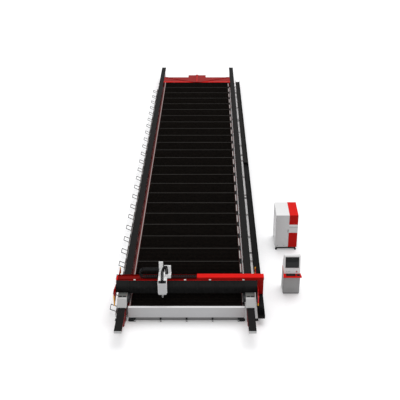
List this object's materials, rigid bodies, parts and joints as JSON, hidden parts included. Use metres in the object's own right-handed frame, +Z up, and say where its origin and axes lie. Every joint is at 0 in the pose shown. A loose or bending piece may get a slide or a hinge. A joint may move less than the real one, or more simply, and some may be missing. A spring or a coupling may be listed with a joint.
{
  "type": "fiber laser cutting machine",
  "caption": "Long ground-rail gantry laser cutting machine with slat bed, scrap drawers, cross carriage with cutting head, console and source cabinet.",
  "frame": {"origin": "on the floor, at the middle of the outline of the whole machine with its console and cabinet", "axes": "+X across the bed towards the console, +Y along the bed away from the operator's end, +Z up"},
  "size_m": [7.782, 30.022, 2.14],
  "materials": {
    "frame_red": "gloss",
    "frame_dark_red": "satin",
    "guard_black": "matt",
    "slat_steel": "matt",
    "cover_grey": "satin",
    "panel_grey": "satin",
    "cover_white": "gloss",
    "rail_steel": "ground",
    "machine_steel": "machined",
    "galvanised": "galvanised sheet",
    "drawer_sheet": "satin",
    "chain_plastic": "matt",
    "bellows_fabric": "coated fabric",
    "hose_rubber": "matt",
    "light_yellow": "gloss",
    "motor_black": "satin",
    "head_aluminium": "anodised",
    "console_grey": "satin",
    "console_white": "satin",
    "stop_red": "gloss"
  },
  "bodies": {
    "bed": {"rail_beams": "frame_red", "rail_guards": "guard_black", "rails_and_racks": "rail_steel", "table_frame": "frame_dark_red", "slats": "slat_steel", "front_panel": "panel_grey", "rear_beam": "frame_red", "exhaust_duct": "galvanised", "chain_tray": "guard_black", "main_chain_lower": "chain_plastic", "console_body": "console_grey", "console_shelf": "frame_red", "console_head": "console_white", "cabinet_shell": "cover_grey", "cabinet_trim": "frame_red"},
    "gantry": {"gantry_beam": "frame_red", "truck_frames": "machine_steel", "truck_covers": "cover_grey", "drive_motors": "motor_black", "beam_top_cover": "frame_red", "cross_chain_tray": "frame_dark_red", "cross_chain_lower": "chain_plastic", "bellows_left": "bellows_fabric", "bellows_right": "bellows_fabric", "gantry_lights": "light_yellow", "main_chain_upper": "chain_plastic"},
    "main_loop": {"main_chain_loop": "chain_plastic"},
    "cross_loop": {"cross_chain_loop": "chain_plastic"},
    "carriage": {"carriage": "cover_white", "z_cover": "cover_white", "head_hoses": "hose_rubber", "cross_chain_upper": "chain_plastic"},
    "head": {"cutting_head": "head_aluminium"},
    "console_door": {"console_door": "console_grey"},
    "stop_button": {"estop_button": "stop_red"},
    "scrap_drawer_01": {"scrap_drawer_01": "drawer_sheet"},
    "scrap_drawer_02": {"scrap_drawer_02": "drawer_sheet"},
    "scrap_drawer_03": {"scrap_drawer_03": "drawer_sheet"},
    "scrap_drawer_04": {"scrap_drawer_04": "drawer_sheet"},
    "scrap_drawer_05": {"scrap_drawer_05": "drawer_sheet"},
    "scrap_drawer_06": {"scrap_drawer_06": "drawer_sheet"},
    "scrap_drawer_07": {"scrap_drawer_07": "drawer_sheet"},
    "scrap_drawer_08": {"scrap_drawer_08": "drawer_sheet"},
    "scrap_drawer_09": {"scrap_drawer_09": "drawer_sheet"},
    "scrap_drawer_10": {"scrap_drawer_10": "drawer_sheet"},
    "scrap_drawer_11": {"scrap_drawer_11": "drawer_sheet"},
    "scrap_drawer_12": {"scrap_drawer_12": "drawer_sheet"},
    "scrap_drawer_13": {"scrap_drawer_13": "drawer_sheet"},
    "scrap_drawer_14": {"scrap_drawer_14": "drawer_sheet"},
    "scrap_drawer_15": {"scrap_drawer_15": "drawer_sheet"},
    "scrap_drawer_16": {"scrap_drawer_16": "drawer_sheet"},
    "scrap_drawer_17": {"scrap_drawer_17": "drawer_sheet"},
    "scrap_drawer_18": {"scrap_drawer_18": "drawer_sheet"},
    "scrap_drawer_19": {"scrap_drawer_19": "drawer_sheet"},
    "scrap_drawer_20": {"scrap_drawer_20": "drawer_sheet"},
    "scrap_drawer_21": {"scrap_drawer_21": "drawer_sheet"},
    "scrap_drawer_22": {"scrap_drawer_22": "drawer_sheet"},
    "scrap_drawer_23": {"scrap_drawer_23": "drawer_sheet"},
    "scrap_drawer_24": {"scrap_drawer_24": "drawer_sheet"},
    "scrap_drawer_25": {"scrap_drawer_25": "drawer_sheet"}
  },
  "joints": [
    {"name": "gantry_travel", "type": "slide", "parent": "bed", "child": "gantry", "axis": [0, 1, 0], "range_m": [-0.6, 24.6], "deforming": ["main_chain_lower", "main_chain_upper"]},
    {"name": "carriage_travel", "type": "slide", "parent": "gantry", "child": "carriage", "axis": [1, 0, 0], "range_m": [-1.1, 2.9], "deforming": ["bellows_left", "bellows_right", "cross_chain_lower", "cross_chain_upper"]},
    {"name": "head_lift", "type": "slide", "parent": "carriage", "child": "head", "axis": [0, 0, 1], "range_m": [-0.11, 0.08]},
    {"name": "main_chain_follow", "type": "slide", "parent": "gantry", "child": "main_loop", "axis": [0, 1, 0], "range_m": [-12.35, 0.35]},
    {"name": "cross_chain_follow", "type": "slide", "parent": "carriage", "child": "cross_loop", "axis": [1, 0, 0], "range_m": [-1.5, 0.6]},
    {"name": "console_door_hinge", "type": "hinge", "parent": "bed", "child": "console_door", "pos_m": [2.996, -11.7755, 0.475], "axis": [0, 0, -1], "range_deg": [0, 110]},
    {"name": "stop_press", "type": "slide", "parent": "bed", "child": "stop_button", "axis": [0, 0.9594, -0.2822], "range_m": [0, 0.006], "stiffness_N_per_m": 1500},
    {"name": "scrap_drawer_01_slide", "type": "slide", "parent": "bed", "child": "scrap_drawer_01", "axis": [-1, 0, 0], "range_m": [0, 2]},
    {"name": "scrap_drawer_02_slide", "type": "slide", "parent": "bed", "child": "scrap_drawer_02", "axis": [-1, 0, 0], "range_m": [0, 2]},
    {"name": "scrap_drawer_03_slide", "type": "slide", "parent": "bed", "child": "scrap_drawer_03", "axis": [-1, 0, 0], "range_m": [0, 2]},
    {"name": "scrap_drawer_04_slide", "type": "slide", "parent": "bed", "child": "scrap_drawer_04", "axis": [-1, 0, 0], "range_m": [0, 2]},
    {"name": "scrap_drawer_05_slide", "type": "slide", "parent": "bed", "child": "scrap_drawer_05", "axis": [-1, 0, 0], "range_m": [0, 2]},
    {"name": "scrap_drawer_06_slide", "type": "slide", "parent": "bed", "child": "scrap_drawer_06", "axis": [-1, 0, 0], "range_m": [0, 2]},
    {"name": "scrap_drawer_07_slide", "type": "slide", "parent": "bed", "child": "scrap_drawer_07", "axis": [-1, 0, 0], "range_m": [0, 2]},
    {"name": "scrap_drawer_08_slide", "type": "slide", "parent": "bed", "child": "scrap_drawer_08", "axis": [-1, 0, 0], "range_m": [0, 2]},
    {"name": "scrap_drawer_09_slide", "type": "slide", "parent": "bed", "child": "scrap_drawer_09", "axis": [-1, 0, 0], "range_m": [0, 2]},
    {"name": "scrap_drawer_10_slide", "type": "slide", "parent": "bed", "child": "scrap_drawer_10", "axis": [-1, 0, 0], "range_m": [0, 2]},
    {"name": "scrap_drawer_11_slide", "type": "slide", "parent": "bed", "child": "scrap_drawer_11", "axis": [-1, 0, 0], "range_m": [0, 2]},
    {"name": "scrap_drawer_12_slide", "type": "slide", "parent": "bed", "child": "scrap_drawer_12", "axis": [-1, 0, 0], "range_m": [0, 2]},
    {"name": "scrap_drawer_13_slide", "type": "slide", "parent": "bed", "child": "scrap_drawer_13", "axis": [-1, 0, 0], "range_m": [0, 2]},
    {"name": "scrap_drawer_14_slide", "type": "slide", "parent": "bed", "child": "scrap_drawer_14", "axis": [-1, 0, 0], "range_m": [0, 2]},
    {"name": "scrap_drawer_15_slide", "type": "slide", "parent": "bed", "child": "scrap_drawer_15", "axis": [-1, 0, 0], "range_m": [0, 2]},
    {"name": "scrap_drawer_16_slide", "type": "slide", "parent": "bed", "child": "scrap_drawer_16", "axis": [-1, 0, 0], "range_m": [0, 2]},
    {"name": "scrap_drawer_17_slide", "type": "slide", "parent": "bed", "child": "scrap_drawer_17", "axis": [-1, 0, 0], "range_m": [0, 2]},
    {"name": "scrap_drawer_18_slide", "type": "slide", "parent": "bed", "child": "scrap_drawer_18", "axis": [-1, 0, 0], "range_m": [0, 2]},
    {"name": "scrap_drawer_19_slide", "type": "slide", "parent": "bed", "child": "scrap_drawer_19", "axis": [-1, 0, 0], "range_m": [0, 2]},
    {"name": "scrap_drawer_20_slide", "type": "slide", "parent": "bed", "child": "scrap_drawer_20", "axis": [-1, 0, 0], "range_m": [0, 2]},
    {"name": "scrap_drawer_21_slide", "type": "slide", "parent": "bed", "child": "scrap_drawer_21", "axis": [-1, 0, 0], "range_m": [0, 2]},
    {"name": "scrap_drawer_22_slide", "type": "slide", "parent": "bed", "child": "scrap_drawer_22", "axis": [-1, 0, 0], "range_m": [0, 2]},
    {"name": "scrap_drawer_23_slide", "type": "slide", "parent": "bed", "child": "scrap_drawer_23", "axis": [-1, 0, 0], "range_m": [0, 2]},
    {"name": "scrap_drawer_24_slide", "type": "slide", "parent": "bed", "child": "scrap_drawer_24", "axis": [-1, 0, 0], "range_m": [0, 2]},
    {"name": "scrap_drawer_25_slide", "type": "slide", "parent": "bed", "child": "scrap_drawer_25", "axis": [-1, 0, 0], "range_m": [0, 2]}
  ],
  "couplings": [
    {"joint": "main_chain_follow", "follows": "gantry_travel", "ratio": -0.5},
    {"joint": "cross_chain_follow", "follows": "carriage_travel", "ratio": -0.5}
  ]
}
